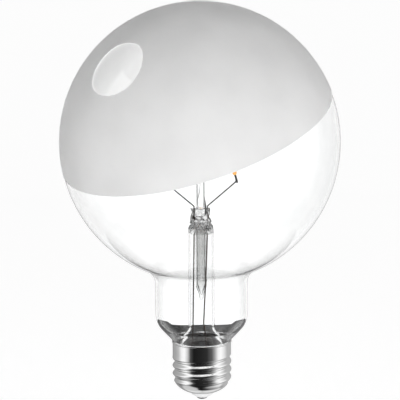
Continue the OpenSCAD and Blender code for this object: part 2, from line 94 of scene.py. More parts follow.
# Stem
TUBE_R = 5.85
TUBE_T = 0.9
FLARE_R = 11.0
SKIRT_TOP = 23.0
FLARE_H = 10.0
PRESS_TOP = 86.9
PRESS_LOW = 80.9
SQUEEZE_Z = 76.0
PRESS_W_LOW = 8.8
PRESS_W_TOP = 8.0
PRESS_T = 3.6
PRESS_LIP = 0.5
PRESS_RELIEF = 0.6
HOLLOW_T = 1.0
HOLLOW_RELIEF = 0.25
STEM_SIDES = 144
STEM_STEP = 0.5
FLARE_ROWS, TUBE_ROWS, SQUEEZE_ROWS, PRESS_ROWS = 24, 8, 14, 24
HOLE_X, HOLE_DROP, HOLE_W, HOLE_H = -0.8, 3.1, 2.9, 4.6

# Wires: the leads' distance from the axis in the press, and where their free ends are
LEAD_X = 2.95
LEAD_TIP_X = 15.8
REAR_TIP_Y = 16.0
TIP_RISE = 12.0
WIRE_R = 0.3
WIRE_BEAD_R = 0.5
BOARD_Z = 13.0

# Screw cap
COLLAR_R = 13.1
SHEET_T = 0.3
CREST_R = 26.45 / 2
GROOVE_DEPTH = (26.45 - 24.4) / 2
PITCH = 3.629
THREAD_TOP = 21.6
BEAD_H = 0.9
BEAD_OUT = 0.3
FOOT_Z = 3.1
BOWL_H = 7.8
BOWL_TOP = FOOT_Z + BOWL_H
FOOT_R = 5.5
CREST_SHIFT = 0.8
SHELL_SIDES = 256
BEAD_STEPS, COLLAR_ROWS, WALL_ROWS, BOWL_ROWS = 22, 6, 130, 40

# Camera: the photograph's viewing angle
VIEW_ELEVATION = math.radians(11)
VIEW_DISTANCE = 1200.0
VIEW_AIM = Vector((-0.26, 0, 90.7))
VIEW_ROLL = math.radians(-0.48)
FOCAL_PX = 2706.0
FRAME_PX = 400.0


# Meshes

def new_object(name, data):
    piece = bpy.data.objects.new(name, data)
    bpy.context.scene.collection.objects.link(piece)
    return piece


def mesh_object(name, points, faces, sharp_angle=35):
    """Smooth shaded mesh from points in millimetres, with creases sharper than sharp_angle kept."""
    mesh = bpy.data.meshes.new(name)
    mesh.from_pydata([(x * MM, y * MM, z * MM) for x, y, z in points], [], faces)
    mesh.validate()
    made = bmesh.new()
    made.from_mesh(mesh)
    bmesh.ops.recalc_face_normals(made, faces=made.faces)
    made.to_mesh(mesh)
    made.free()
    mesh.polygons.foreach_set("use_smooth", [True] * len(mesh.polygons))
    mesh.set_sharp_from_angle(angle=math.radians(sharp_angle))
    return new_object(name, mesh)


def ring_faces(rows, n, closed):
    """Quads between rows of n points each; closed also joins the last row to the first."""
    faces = []
    for i in range(rows if closed else rows - 1):
        k = (i + 1) % rows
        for j in range(n):
            m = (j + 1) % n
            faces.append((i * n + j, i * n + m, k * n + m, k * n + j))
    return faces


def circle(n):
    """Cosine and sine of n equal steps round the axis."""
    return [(math.cos(2 * math.pi * j / n), math.sin(2 * math.pi * j / n)) for j in range(n)]


def lathe(name, profile, n):
    """Turned piece from a profile of (radius, height) that starts and ends on the axis."""
    rows = profile[1:-1]
    turn = circle(n)
    points = [(r * c, r * s, z) for r, z in rows for c, s in turn]
    faces = ring_faces(len(rows), n, False)
    first, last = len(points), len(points) + 1
    points += [(0, 0, profile[0][1]), (0, 0, profile[-1][1])]
    low = (len(rows) - 1) * n
    for j in range(n):
        m = (j + 1) % n
        faces += [(first, m, j), (last, low + j, low + m)]
    return mesh_object(name, points, faces)


def arc(cx, cz, r, start, end, steps):
    """Points of an arc between two angles, in radians."""
    return [(cx + r * math.cos(start + (end - start) * i / steps),
             cz + r * math.sin(start + (end - start) * i / steps)) for i in range(steps + 1)]


def smooth(x):
    """Rises from 0 to 1 with level ends."""
    c = min(1.0, max(0.0, x))
    return c * c * (3 - 2 * c)


# Globe and neck

def bulb_profile(inset):
    """Outline of the glass from the cap's inside up to the top of the globe, inset by the wall."""
    big = GLASS_R + FILLET_R
    fillet_x = NECK_R + FILLET_R
    fillet_z = GLOBE_Z - math.sqrt(big ** 2 - fillet_x ** 2)
    lean = math.atan2(fillet_z - GLOBE_Z, fillet_x)
    corner_z = TAPER_Z + (NECK_R - TAPER_X) / math.tan(TAPER)
    round_z = corner_z + NECK_ROUND * math.tan(TAPER / 2)
    slant = (math.cos(TAPER) * inset, -math.sin(TAPER) * inset)
    low_z = SEAL_Z + SEAL_T - inset + (SEAL_GAP if inset == 0 else 2 * SEAL_GAP)
    low = [(STUB_R - inset, low_z), (STUB_R - inset, CAP_H - BEAD_H / 2),
           (TAPER_X - slant[0], TAPER_Z - slant[1])]
    rounded = arc(NECK_R - NECK_ROUND, round_z, NECK_ROUND - inset, -TAPER, 0, ROUND_STEPS)
    fillet = arc(fillet_x, fillet_z, FILLET_R + inset, math.pi, math.pi + lean, FILLET_STEPS)
    globe = arc(0, GLOBE_Z, GLASS_R - inset, lean, math.pi / 2, GLOBE_STEPS)
    globe[-1] = (0, globe[-1][1])
    return low + rounded + fillet + globe[1:]


def make_envelope():
    profile = bulb_profile(0)[::-1] + bulb_profile(GLASS_T)
    piece = lathe("globe_glass", profile, GLOBE_SIDES)
    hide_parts("glass_envelope")
    return piece


# White coat

def coat_direction(elevation, azimuth):
    """Unit vector at an angle above level and a compass angle from +X."""
    return Vector((math.cos(elevation) * math.cos(azimuth),
                   math.cos(elevation) * math.sin(azimuth), math.sin(elevation)))


def make_coat():
    """Skin of the globe above a tilted plane, with a round window. Its rows are rings around the
    plane's pole."""
    pole = coat_direction(math.pi / 2 - COAT_TILT, COAT_AZIMUTH)
    window = coat_direction(WINDOW_ELEVATION, WINDOW_AZIMUTH)
    side = pole.cross(window).normalized()
    front = side.cross(pole)
    n, rings = COAT_SIDES, COAT_RINGS
    edge = math.acos(COAT_RISE / COAT_R)
    made = bmesh.new()
    rows = []
    for i in range(1, rings + 1):
        polar = edge * i / rings
        rows.append([made.verts.new(math.cos(polar) * pole + math.sin(polar) * (
            math.cos(2 * math.pi * j / n) * front + math.sin(2 * math.pi * j / n) * side))
            for j in range(n)])
    top = made.verts.new(pole)
    for j in range(n):
        made.faces.new((top, rows[0][j], rows[0][(j + 1) % n]))
    for a, b in zip(rows, rows[1:]):
        for j in range(n):
            made.faces.new((a[j], b[j], b[(j + 1) % n], a[(j + 1) % n]))
    cut_window(made, window, WINDOW_R / COAT_R)
    outer = {v: v.co.copy() for v in made.verts}
    skins = []
    for r in (COAT_R, GLASS_R + COAT_GAP):
        skins.append({v: co * r + Vector((0, 0, GLOBE_Z)) for v, co in outer.items()})
    verts = list(made.verts)
    place = {v: i for i, v in enumerate(verts)}
    points = [tuple(s[v]) for s in skins for v in verts]
    shift = len(verts)
    faces = []
    for f in made.faces:
        ids = [place[v] for v in f.verts]
        faces += [ids, [i + shift for i in reversed(ids)]]
    for e in made.edges:
        if e.is_boundary:
            a, b = (place[v] for v in e.verts)
            faces.append((a, b, b + shift, a + shift))
    made.free()
    piece = mesh_object("white_coat", points, faces)
    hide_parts("white_coating")
    return piece


def cut_window(made, axis, half_sine):
    """Removes what lies within the window and draws the faces' edge onto its circle."""
    half = math.asin(half_sine)
    inside = [v for v in made.verts if v.co.angle(axis) < half]
    near = set()
    for v in inside:
        near.update(e.other_vert(v) for e in v.link_edges)
    near -= set(inside)
    bmesh.ops.delete(made, geom=inside, context="VERTS")
    for v in near:
        if v.is_valid:
            across = (v.co - axis * v.co.dot(axis)).normalized()
            v.co = math.cos(half) * axis + math.sin(half) * across


# Stem: flare, tube, squeezed press, exhaust tube and rod

def stadium(share, width, thick):
    """Point at a share of the way round a slot shape, which starts at its right end."""
    straight, bend = width - thick, math.pi * thick / 2
    length = 2 * straight + 2 * bend
    s = (share * length) % length
    if s < bend / 2:
        a = s / (thick / 2)
        return (straight / 2 + thick / 2 * math.cos(a), thick / 2 * math.sin(a))
    s -= bend / 2
    if s < straight:
        return (straight / 2 - s, thick / 2)
    s -= straight
    if s < bend:
        a = math.pi / 2 + s / (thick / 2)
        return (-straight / 2 + thick / 2 * math.cos(a), thick / 2 * math.sin(a))
    s -= bend
    if s < straight:
        return (-straight / 2 + s, -thick / 2)
    s -= straight
    a = -math.pi / 2 + s / (thick / 2)
    return (straight / 2 + thick / 2 * math.cos(a), thick / 2 * math.sin(a))


def flare_radius(z):
    """Outer radius of the flare at a height: straight skirt, then an S down to the tube."""
    if z <= SKIRT_TOP:
        return FLARE_R
    h = min(1.0, (z - SKIRT_TOP) / FLARE_H)
    return TUBE_R + (FLARE_R - TUBE_R) * (1 + math.cos(math.pi * h)) / 2


def round_row(r, z):
    return [(r * c, r * s, z) for c, s in circle(STEM_SIDES)]


def press_row(z, share, r, width, thick, rough):
    """Row between a circle and a slot shape, with hand-pressed relief; it is finer low down."""
    row = []
    for j, (c, s) in enumerate(circle(STEM_SIDES)):
        sx, sy = stadium(j / STEM_SIDES, width, thick)
        x = r * c * (1 - share) + sx * share
        y = r * s * (1 - share) + sy * share
        low_part = smooth((PRESS_LOW + 1 - z) / 2)
        bump = rough * ((1 - low_part) * noise.noise(Vector((x * 0.55, y * 0.9, z * 0.5)))
                        + low_part * noise.noise(Vector((x * 0.7, y * 1.1, z * 0.7))))
        row.append((x * (1 + bump * 0.6), y * (1 + bump), z + 0.3 * bump))
    return row


def squeezed_rows(r, width, thick, rough):
    """Rows from the round tube to the press."""
    rows = []
    for i in range(1, SQUEEZE_ROWS + 1):
        t = i / SQUEEZE_ROWS
        z = SQUEEZE_Z + (PRESS_LOW - SQUEEZE_Z) * t
        rows.append(press_row(z, smooth(t), r, width, thick, rough * smooth(t)))
    return rows


def tube_rows(r, low):
    """Rows of the straight tube from a height up to the squeeze."""
    return [round_row(r, low + (SQUEEZE_Z - low) * i / TUBE_ROWS) for i in range(1, TUBE_ROWS + 1)]


def make_stem():
    """Hollow flare and tube that go into the solid press, with the gas hole in its front."""
    n = STEM_SIDES
    seal_top = SEAL_Z + SEAL_T
    tube_low = SEAL_Z + STEM_STEP * FLARE_ROWS
    outer = [round_row(FLARE_R - TUBE_T, SEAL_Z), round_row(STUB_R, SEAL_Z),
             round_row(STUB_R, seal_top), round_row(FLARE_R, seal_top)]
    for i in range(FLARE_ROWS - 2):
        z = seal_top + STEM_STEP + STEM_STEP * i
        outer.append(round_row(flare_radius(z), z))
    outer += tube_rows(TUBE_R, tube_low)
    outer += squeezed_rows(TUBE_R, PRESS_W_LOW, PRESS_T, PRESS_RELIEF)
    for i in range(1, PRESS_ROWS + 1):
        t = i / PRESS_ROWS
        z = PRESS_LOW + (PRESS_TOP - PRESS_LOW) * t
        width = (PRESS_W_LOW + (PRESS_W_TOP - PRESS_W_LOW) * smooth(1.5 * t)
                 + PRESS_LIP * smooth(3 * t - 2))
        thick = PRESS_T + 0.4 * math.sin(3 * math.pi * t)
        outer.append(press_row(z, 1, TUBE_R, width, thick, PRESS_RELIEF - 0.2 * smooth(2 * t)))
    for lift, shrink in ((0.25, 0.35), (0.4, 0.8), (0.45, 1.3)):
        outer.append(press_row(PRESS_TOP - 0.45 + lift, 1, TUBE_R,
                               PRESS_W_TOP + PRESS_LIP - 2 * shrink, PRESS_T - 2 * shrink, 0.3))
    hollow = []
    for i in range(1, FLARE_ROWS + 1):
        z = SEAL_Z + STEM_STEP * i
        hollow.append(round_row(flare_radius(z) - TUBE_T, z))
    hollow += tube_rows(TUBE_R - TUBE_T, tube_low)
    hollow += squeezed_rows(TUBE_R - TUBE_T, 2 * LEAD_X + 1.2, HOLLOW_T, HOLLOW_RELIEF)
    hollow.reverse()

    points = [p for row in outer + hollow for p in row]
    faces = ring_faces(len(outer), n, False)
    base = len(outer) * n
    faces += [tuple(base + v for v in f) for f in ring_faces(len(hollow), n, False)]
    last = base + (len(hollow) - 1) * n
    for j in range(n):
        m = (j + 1) % n
        faces.append((last + j, last + m, m, j))
    faces.append(tuple(base - n + j for j in range(n)))
    faces.append(tuple(base + j for j in reversed(range(n))))
    piece = mesh_object("stem_glass", points, faces, 60)
    cut_gas_hole(piece)
    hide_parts("stem_flare")
    return piece


def cut_gas_hole(piece):
    """Oval hole blown in the front of the press."""
    cutter = stadium_plug(HOLE_X, PRESS_TOP - HOLE_DROP, HOLE_W, HOLE_H, -4, 0.2)
    change = piece.modifiers.new("hole", "BOOLEAN")
    change.operation = "DIFFERENCE"
    change.solver = "EXACT"
    change.object = cutter
    graph = bpy.context.evaluated_depsgraph_get()
    mesh = bpy.data.meshes.new_from_object(piece.evaluated_get(graph))
    piece.modifiers.clear()
    piece.data = mesh
    bpy.data.objects.remove(cutter)


def stadium_plug(x, z, width, height, front, back):
    """Upright slot shape from front to back, rounded off towards its back."""
    n, steps = 48, 8
    rows = []
    for k in range(steps + 1):
        y = front + (back - front) * k / steps
        shrink = 0.2 * smooth(2 * k / steps - 1)
        rows.append([(x + sy * (1 - shrink), y, z + sx * (1 - shrink))
                     for sx, sy in (stadium(j / n, height, width) for j in range(n))])
    points = [p for row in rows for p in row]
    faces = ring_faces(len(rows), n, False)
    faces += [tuple(range(n)), tuple((len(rows) - 1) * n + j for j in reversed(range(n)))]
    return mesh_object("hole_form", points, faces)


def make_exhaust():
    """Tube that is drawn out to a closed tip at its low end."""
    low, top = (corner.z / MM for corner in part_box("exhaust_tube"))
    top -= 0.2
    tip = 8.0
    r, wall = 2.4, 0.8
    outer = [(0, low)] + arc(0, low + 0.7, 0.7, -1.3, -0.2, 6)
    outer += [(0.9 + (r - 0.9) * smooth(i / 14), low + 1 + (tip - 1) * i / 14) for i in range(15)]
    outer += [(r, low + tip + 5 * i) for i in range(1, 5)] + [(r, top), (r - 0.2, top + 0.2)]
    inner = [(r - wall - 0.1, top + 0.2), (r - wall, top), (r - wall, low + tip + 1)]
    inner += [(0.3 + (r - wall - 0.3) * smooth(1 - i / 10), low + tip + 1 - (tip - 1.6) * i / 10)
              for i in range(1, 11)]
    piece = lathe("exhaust_glass", outer + inner + [(0, low + 2.4)], 96)
    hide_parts("exhaust_tube")
    return piece


def make_rod():
    """Rod that stands on the press and ends in a button."""
    low, top = (corner.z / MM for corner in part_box("centre_rod"))
    rod_r, button_r, button_l = 1.85, 2.6, 3.4
    neck = top - button_l
    profile = [(0, low), (rod_r - 0.3, low), (rod_r + 0.25, low + 0.3), (rod_r, low + 1)]
    profile += [(rod_r, low + 1 + (neck - 2 - low - 1) * i / 12) for i in range(1, 13)]
    profile += [(rod_r + (button_r - rod_r) * smooth(i / 8), neck - 2 + 2.6 * i / 8)
                for i in range(1, 9)]
    profile += arc(button_r - 1.1, top - 1.1, 1.1, 0, math.pi / 2, 8) + [(0, top)]
    piece = lathe("rod_glass", profile, 64)
    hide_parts("centre_rod")
    return piece


# Wires

def round_bends(route, r, steps=8):
    """The route's points with each inner corner turned into an arc of radius r."""
    points = [Vector(route[0])]
    for a, b, c in zip(route, route[1:], route[2:]):
        a, b, c = Vector(a), Vector(b), Vector(c)
        before, after = (b - a).normalized(), (c - b).normalized()
        turn = before.angle(after)
        if turn < 0.01:
            points.append(b)
            continue
        reach = r * math.tan(turn / 2)
        inward = (after - before * after.dot(before)).normalized()
        hub = b - before * reach + inward * r
        for k in range(steps + 1):
            t = turn * k / steps
            points.append(hub + r * (math.sin(t) * before - math.cos(t) * inward))
    points.append(Vector(route[-1]))
    return points


def sweep(name, points, radii, sides=20):
    """Round wire along points, with a radius at each of them."""
    rows = []
    heading = (points[1] - points[0]).normalized()
    across = heading.orthogonal().normalized()
    for i, p in enumerate(points):
        ahead = (points[min(i + 1, len(points) - 1)] - points[max(i - 1, 0)]).normalized()
        across = (across - ahead * across.dot(ahead)).normalized()
        other = ahead.cross(across)
        rows.append([tuple(p + radii[i] * (math.cos(2 * math.pi * j / sides) * across
                                           + math.sin(2 * math.pi * j / sides) * other))
                     for j in range(sides)])
    flat = [q for row in rows for q in row]
    faces = ring_faces(len(rows), sides, False)
    last = (len(rows) - 1) * sides
    faces += [tuple(reversed(range(sides))), tuple(last + j for j in range(sides))]
    return mesh_object(name, flat, faces, 50)


def wire_piece(name, route, node, bend=1.2, bead=0.0):
    """Bent wire, with a bead of the given radius at its far end if there is one."""
    points = round_bends(route, bend)
    radii = [WIRE_R] * len(points)
    if bead:
        tip = points[-1]
        ahead = (tip - points[-2]).normalized()
        start = -math.acos(WIRE_R / bead)
        angles = [start + (1.45 - start) * k / 9 for k in range(10)]
        points = points[:-1] + [tip + bead * math.sin(a) * ahead for a in angles]
        radii = radii[:-1] + [bead * math.cos(a) for a in angles]
    piece = sweep(name, points, radii)
    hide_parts(node)
    return piece


def make_wires():
    """Nickel wires over the press, and the copper ones from the press down to the board."""
    x, tip_z = LEAD_X, PRESS_TOP + TIP_RISE
    left = [(-x, 0, PRESS_TOP), (-x, 0, PRESS_TOP + 1), (-LEAD_TIP_X, 0, tip_z)]
    right = [(x, 0, PRESS_TOP), (x, 0, PRESS_TOP + 1), (LEAD_TIP_X, 0, tip_z)]
    rear = [(2.2, 1.08, PRESS_TOP - 3), (2.2, 1.08, PRESS_TOP + 1), (0, REAR_TIP_Y, tip_z)]
    left_low = [(-x, 0, PRESS_LOW), (-x, 0, PRESS_LOW - 3), (-3.9, 0, 31),
                (-5, 0, BOARD_Z + 4), (-5, 0, BOARD_Z - 0.6)]
    right_low = [(x, 0, PRESS_LOW), (x, 0, PRESS_LOW - 3), (2.3, -2.3, 61), (1.4, -2.6, 45),
                 (0.9, -2, 35), (3.4, -2, BOARD_Z + 4), (3.4, -2, BOARD_Z - 0.6)]
    nickel = [wire_piece("lead_left", left, "inner_lead_left", bead=WIRE_BEAD_R),
              wire_piece("lead_right", right, "inner_lead_right", bead=WIRE_BEAD_R),
              wire_piece("rear_wire", rear, "rear_support_wire", bead=WIRE_BEAD_R)]
    copper = [wire_piece("stem_lead_left", left_low, "outer_lead_left", bend=6),
              wire_piece("stem_lead_right", right_low, "outer_lead_right", bend=6)]
    return nickel, copper


# Screw cap

def bowl_point(t):
    """Point of the bowl's outline at a share of the way from its top to its foot."""
    start, end = (CREST_R, BOWL_TOP), (FOOT_R, FOOT_Z)
    pull = (CREST_R - 0.5, FOOT_Z + 0.3 * BOWL_H)
    return tuple((1 - t) ** 2 * a + 2 * t * (1 - t) * b + t * t * c
                 for a, b, c in zip(start, pull, end))


def groove(turn_share, z):
    """Depth of the rolled groove at a share of a turn and a height."""
    turns = (THREAD_TOP - z) / PITCH + turn_share + CREST_SHIFT
    part = turns - math.floor(turns)
    middle = z + PITCH * (part - 0.5)
    fade_in = smooth((THREAD_TOP - 0.6 - middle) / 2.6)
    fade_out = smooth((middle - FOOT_Z - 0.42 * BOWL_H) / 3)
    return GROOVE_DEPTH * (1 - math.cos(2 * math.pi * part)) / 2 * fade_in * fade_out


def make_shell():
    """Rolled sheet: bead, collar, threaded wall and bowl, then back up on the sheet's inside."""
    bead_r = BEAD_H / 2
    bead_x, bead_z = COLLAR_R + BEAD_OUT - bead_r, CAP_H - bead_r
    start = math.acos((COLLAR_R - SHEET_T - bead_x) / bead_r)
    end = -math.acos((COLLAR_R - bead_x) / bead_r)
    outline = arc(bead_x, bead_z, bead_r, start, end, BEAD_STEPS)
    collar_top = bead_z + bead_r * math.sin(end)
    outline += [(COLLAR_R, collar_top - (collar_top - THREAD_TOP) * i / COLLAR_ROWS)
                for i in range(1, COLLAR_ROWS + 1)]
    outline += [(COLLAR_R + (CREST_R - COLLAR_R) * smooth(3 * i / WALL_ROWS),
                 THREAD_TOP - (THREAD_TOP - BOWL_TOP) * i / WALL_ROWS)
                for i in range(1, WALL_ROWS + 1)]
    outline += [bowl_point(i / BOWL_ROWS) for i in range(1, BOWL_ROWS + 1)]
    turn = circle(SHELL_SIDES)
    points = []

    def ring(r, z, depth_z):
        for j, (c, s) in enumerate(turn):
            d = groove(j / SHELL_SIDES, depth_z)
            points.append(((r - d) * c, (r - d) * s, z))

    for r, z in outline:
        ring(r, z, z)
    inner = outline[BEAD_STEPS + 1:]
    for i, (r, z) in reversed(list(enumerate(inner))):
        below = inner[min(i + 1, len(inner) - 1)]
        above = inner[max(i - 1, 0)]
        run = Vector((below[0] - above[0], below[1] - above[1])).normalized()
        ring(r + SHEET_T * run[1], z - SHEET_T * run[0], z)
    faces = ring_faces(len(outline) + len(inner), SHELL_SIDES, True)
    piece = mesh_object("cap_shell", points, faces, 50)
    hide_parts("screw_shell")
    return piece


# Materials

COAT_THROUGH = 0.5
METAL_PATCHES = 150
MOULDED_PATCHES = 400
CLEAR = (0.99, 0.99, 0.99, 1)
CLEAR_BELOW, TINTED_ABOVE = 48, 62


def material(name):
    mat = bpy.data.materials.new(name)
    mat.use_nodes = True
    tree = mat.node_tree
    return mat, tree, tree.nodes["Principled BSDF"]


def node(tree, kind, **values):
    made = tree.nodes.new(kind)
    for key, value in values.items():
        setattr(made, key, value)
    return made


def mottled(tree, scale, dark, light):
    """A colour that drifts between two tones on the object's own coordinates."""
    place = node(tree, "ShaderNodeTexCoord")
    drift = node(tree, "ShaderNodeTexNoise")
    drift.inputs["Scale"].default_value = scale
    drift.inputs["Detail"].default_value = 4.0
    tree.links.new(place.outputs["Object"], drift.inputs["Vector"])
    ramp = node(tree, "ShaderNodeValToRGB")
    ramp.color_ramp.elements[0].position = 0.3
    ramp.color_ramp.elements[1].position = 0.7
    ramp.color_ramp.elements[0].color = (*dark, 1)
    ramp.color_ramp.elements[1].color = (*light, 1)
    tree.links.new(drift.outputs["Fac"], ramp.inputs["Fac"])
    return place, ramp


def bumped(tree, shader, place, scale, height, detail=3.0):
    """Fine relief in the surface, with its height in metres."""
    grain = node(tree, "ShaderNodeTexNoise")
    grain.inputs["Scale"].default_value = scale
    grain.inputs["Detail"].default_value = detail
    tree.links.new(place.outputs["Object"], grain.inputs["Vector"])
    bump = node(tree, "ShaderNodeBump")
    bump.inputs["Strength"].default_value = 1.0
    bump.inputs["Distance"].default_value = height
    tree.links.new(grain.outputs["Fac"], bump.inputs["Height"])
    tree.links.new(bump.outputs["Normal"], shader.inputs["Normal"])


def glass(name, scale, height, ior=1.48, dark=(0.975, 0.98, 0.98), light=(0.995, 0.995, 0.995),
          patches=30):
    """Clear glass with a faint relief; its tint drifts between two tones."""
    mat, tree, shader = material(name)
    shader.inputs["Roughness"].default_value = 0.0
    shader.inputs["IOR"].default_value = ior
    shader.inputs["Transmission Weight"].default_value = 1.0
    place, tint = mottled(tree, patches, dark, light)
    tree.links.new(tint.outputs["Color"], shader.inputs["Base Color"])
    bumped(tree, shader, place, scale, height, 1.0)
    return mat


def clear_towards_tip(mat, low, high):
    """Lets the tint of a glass fade out from one height down to another."""
    tree = mat.node_tree
    shader = tree.nodes["Principled BSDF"]
    tint = shader.inputs["Base Color"].links[0].from_socket
    split = node(tree, "ShaderNodeSeparateXYZ")
    place = node(tree, "ShaderNodeTexCoord")
    tree.links.new(place.outputs["Object"], split.inputs[0])
    share = node(tree, "ShaderNodeMapRange")
    share.inputs["From Min"].default_value = low * MM
    share.inputs["From Max"].default_value = high * MM
    tree.links.new(split.outputs["Z"], share.inputs["Value"])
    mix = node(tree, "ShaderNodeMix", data_type="RGBA")
    mix.inputs["A"].default_value = CLEAR
    tree.links.new(share.outputs[0], mix.inputs["Factor"])
    tree.links.new(tint, mix.inputs["B"])
    tree.links.new(mix.outputs["Result"], shader.inputs["Base Color"])


def coat_material():
    """Satin white that lets part of the light through from inside the globe."""
    mat, tree, shader = material("satin_white_coat")
    shader.inputs["Roughness"].default_value = 0.5
    shader.inputs["Specular IOR Level"].default_value = 0.25
    place, tint = mottled(tree, 60, (0.91, 0.91, 0.91), (0.945, 0.945, 0.945))
    tree.links.new(tint.outputs["Color"], shader.inputs["Base Color"])
    bumped(tree, shader, place, 2500, 0.00001)
    through = node(tree, "ShaderNodeBsdfTranslucent")
    mix = node(tree, "ShaderNodeMixShader")
    mix.inputs["Fac"].default_value = COAT_THROUGH
    tree.links.new(tint.outputs["Color"], through.inputs["Color"])
    tree.links.new(shader.outputs[0], mix.inputs[1])
    tree.links.new(through.outputs[0], mix.inputs[2])
    tree.links.new(mix.outputs[0], tree.nodes["Material Output"].inputs["Surface"])
    return mat


def moulded(name, dark, light, rough, scale, height, patches=MOULDED_PATCHES):
    mat, tree, shader = material(name)
    shader.inputs["Roughness"].default_value = rough
    place, tint = mottled(tree, patches, dark, light)
    tree.links.new(tint.outputs["Color"], shader.inputs["Base Color"])
    bumped(tree, shader, place, scale, height)
    return mat


def metal(name, dark, light, rough, scale, height):
    mat = moulded(name, dark, light, rough, scale, height, METAL_PATCHES)
    mat.node_tree.nodes["Principled BSDF"].inputs["Metallic"].default_value = 1.0
    return mat


def glowing_phosphor_material():
    mat, tree, shader = material("glowing_orange_phosphor")
    shader.inputs["Roughness"].default_value = 0.45
    # Emission on the unlit filament's phosphor: a painted glow, not a lamp
    shader.inputs["Emission Color"].default_value = (1.0, 0.45, 0.12, 1)
    shader.inputs["Emission Strength"].default_value = 0.25
    place, tint = mottled(tree, 900, (0.72, 0.3, 0.05), (0.95, 0.52, 0.13))
    tree.links.new(tint.outputs["Color"], shader.inputs["Base Color"])
    bumped(tree, shader, place, 2500, 0.00004)
    return mat


def dress(piece, mat):
    """Gives a piece its material; a new piece also rides the root."""
    piece.data.materials.clear()
    piece.data.materials.append(mat)
    if "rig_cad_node" not in piece:
        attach(piece, "root")


# Studio

# Strengths of the world on surfaces, of the white behind glass and of the light inside the globe
AMBIENT = 0.08
BEHIND_GLASS = 1.3
INSIDE = 2.5

# Floor: its half width, the share that shows shadows, its own white and what surfaces get of it
FLOOR_HALF = 3000.0
FLOOR_SHADE = 0.2
FLOOR_GLOW = 1.19
FLOOR_BOUNCE = 0.5

# Key lamp: watts, and its diameter and place in metres
KEY_WATTS = 6.8
KEY_SIZE = 0.45
KEY_PLACE = (0.27, -1.13, 0.03)

# Domes: radius, height of their centre, and their mesh
DOME_R = 500.0
DOME_Z = 60.0
DOME_ROWS, DOME_SIDES = 48, 96
# A ramp holds values up to 1, so tones are shares of this and the glow's strength restores them
TOP_TONE = 1.1

# Painted shade seen through the taper's glass, a dark ring on a dark ground: its ring's radius and
# height, its outer radius and its height
SHADE_WALL_R, SHADE_WALL_Z = 35.0, 25.1
SHADE_GROUND_R, SHADE_GROUND_Z = 125.0, 0.2
SHADE_RING_SIDES = 180

# Tones round the lamp by compass angle: 0 is the viewer's side, 90 the right, -90 the left
BEHIND = [(-180, 1.0), (-158, 1.0), (-149, 0.75), (-141, 0.35), (-132, 0.05), (-120, 0.08),
          (-108, 0.45), (-102, 0.9), (-79, 0.9), (-70, 0.3), (-50, 0.1), (-26, 0.1), (-15, 0.9),
          (15, 0.9), (26, 0.1), (60, 0.05), (74, 0.1), (81, 0.9), (97, 0.9), (103, 0.1),
          (120, 0.03), (132, 0.06), (141, 0.35), (149, 0.75), (158, 1.0), (180, 1.0)]
REFLECTED = [(-180, 0.33), (-160, 0.33), (-124, 0.41), (-103, 0.53), (-86, 0.94), (-71, 1.06),
             (-57, 0.62), (-46, 0.08), (-32, 0.012), (0, 0.02), (20, 0.03), (40, 0.12), (52, 0.4),
             (66, 0.95), (80, 1.07), (97, 0.84), (116, 0.49), (144, 0.47), (180, 0.38)]
REFLECTED_LOW = [(-180, 0.45), (-140, 0.26), (-118, 0.16), (-95, 0.2), (-78, 0.28), (-62, 0.2),
                 (-46, 0.04), (-20, 0.015), (0, 0.03), (20, 0.07), (40, 0.28), (60, 0.7),
                 (80, 0.62), (100, 0.38), (120, 0.36), (140, 0.5), (180, 0.45)]
REFLECTED_FLOOR = [(-180, 0.6), (-160, 0.85), (-140, 0.65), (-120, 0.6), (-100, 0.62), (-80, 0.5),
                   (-62, 0.05), (-40, 0.012), (0, 0.012), (20, 0.02), (40, 0.04), (60, 0.07),
                   (80, 0.25), (100, 0.45), (120, 0.75), (140, 0.88), (160, 0.75), (180, 0.6)]


def set_up_world():
    """White for what the camera, metal and glass see, and weaker light on surfaces."""
    world = bpy.data.worlds.new("studio")
    bpy.context.scene.world = world
    world.use_nodes = True
    tree = world.node_tree
    shader = tree.nodes["Background"]
    shader.inputs["Color"].default_value = (1, 1, 1, 1)
    level = node(tree, "ShaderNodeMapRange")
    level.inputs["To Min"].default_value = AMBIENT
    tree.links.new(seen_rays(tree), level.inputs["Value"])
    tree.links.new(level.outputs["Result"], shader.inputs["Strength"])


def seen_rays(tree):
    """Is 1 for rays of the camera, of glossy reflections and of glass, and 0 for others."""
    path = node(tree, "ShaderNodeLightPath")
    total = path.outputs["Is Camera Ray"]
    for name in ("Is Glossy Ray", "Is Transmission Ray"):
        add = node(tree, "ShaderNodeMath", operation="MAXIMUM")
        tree.links.new(total, add.inputs[0])
        tree.links.new(path.outputs[name], add.inputs[1])
        total = add.outputs[0]
    return total


def stage_mesh(name, points, faces):
    piece = mesh_object(name, points, faces)
    return piece


def only_for(piece, camera=False, diffuse=False, glossy=False, transmission=False):
    """Lets only some rays see a piece of the stage."""
    piece.visible_camera = camera
    piece.visible_diffuse = diffuse
    piece.visible_glossy = glossy
    piece.visible_transmission = transmission
    piece.visible_shadow = False
    piece.visible_volume_scatter = False


